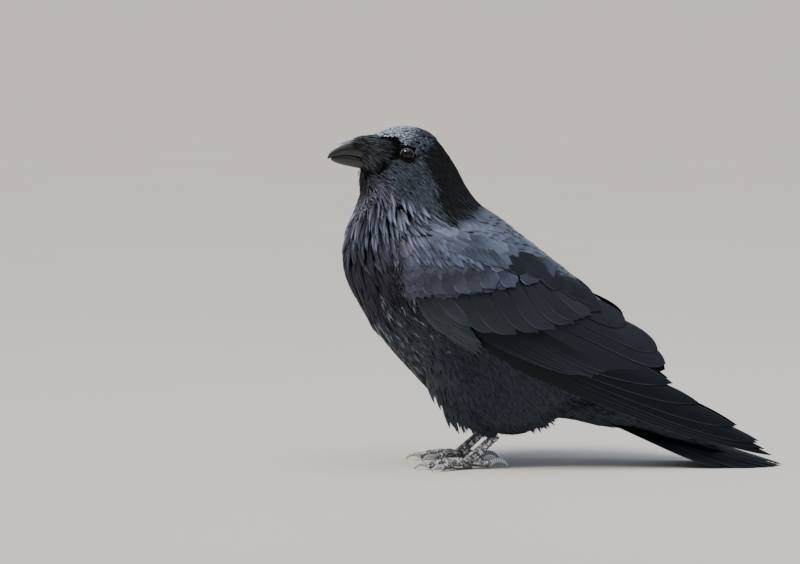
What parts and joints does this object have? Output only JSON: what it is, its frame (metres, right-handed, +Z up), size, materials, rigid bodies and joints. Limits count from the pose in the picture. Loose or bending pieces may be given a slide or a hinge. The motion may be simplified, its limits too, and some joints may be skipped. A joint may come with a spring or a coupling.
{
  "type": "raven",
  "caption": "Raven standing with folded wings, deep bill and shaggy throat, its head turned a little left and its tail tips on the ground; a still, life-size model.",
  "frame": {"origin": "middle of the bounding box, at the level that the feet and the tail tips rest on", "axes": "the bird faces -X, its left side is towards -Y, and +Z is up"},
  "size_m": [0.48, 0.146, 0.3562],
  "materials": {
    "plumage": "soft, with a blue-violet sheen",
    "bill": "satin horn",
    "eye": "wet gloss",
    "scales": "satin scales",
    "claw": "semi-gloss horn"
  },
  "bodies": {
    "root": {"head": "plumage", "neck": "plumage", "trunk": "plumage", "tail": "plumage", "wing_left": "plumage", "wing_right": "plumage", "thigh_left": "plumage", "thigh_right": "plumage", "nasal_bristles": "plumage", "bill_upper": "bill", "bill_lower": "bill", "eye_left": "eye", "eye_right": "eye", "tarsus_left": "scales", "tarsus_right": "scales", "foot_left": "scales", "foot_right": "scales", "claw_inner_left": "claw", "claw_middle_left": "claw", "claw_outer_left": "claw", "claw_hind_left": "claw", "claw_inner_right": "claw", "claw_middle_right": "claw", "claw_outer_right": "claw", "claw_hind_right": "claw"}
  },
  "joints": []
}
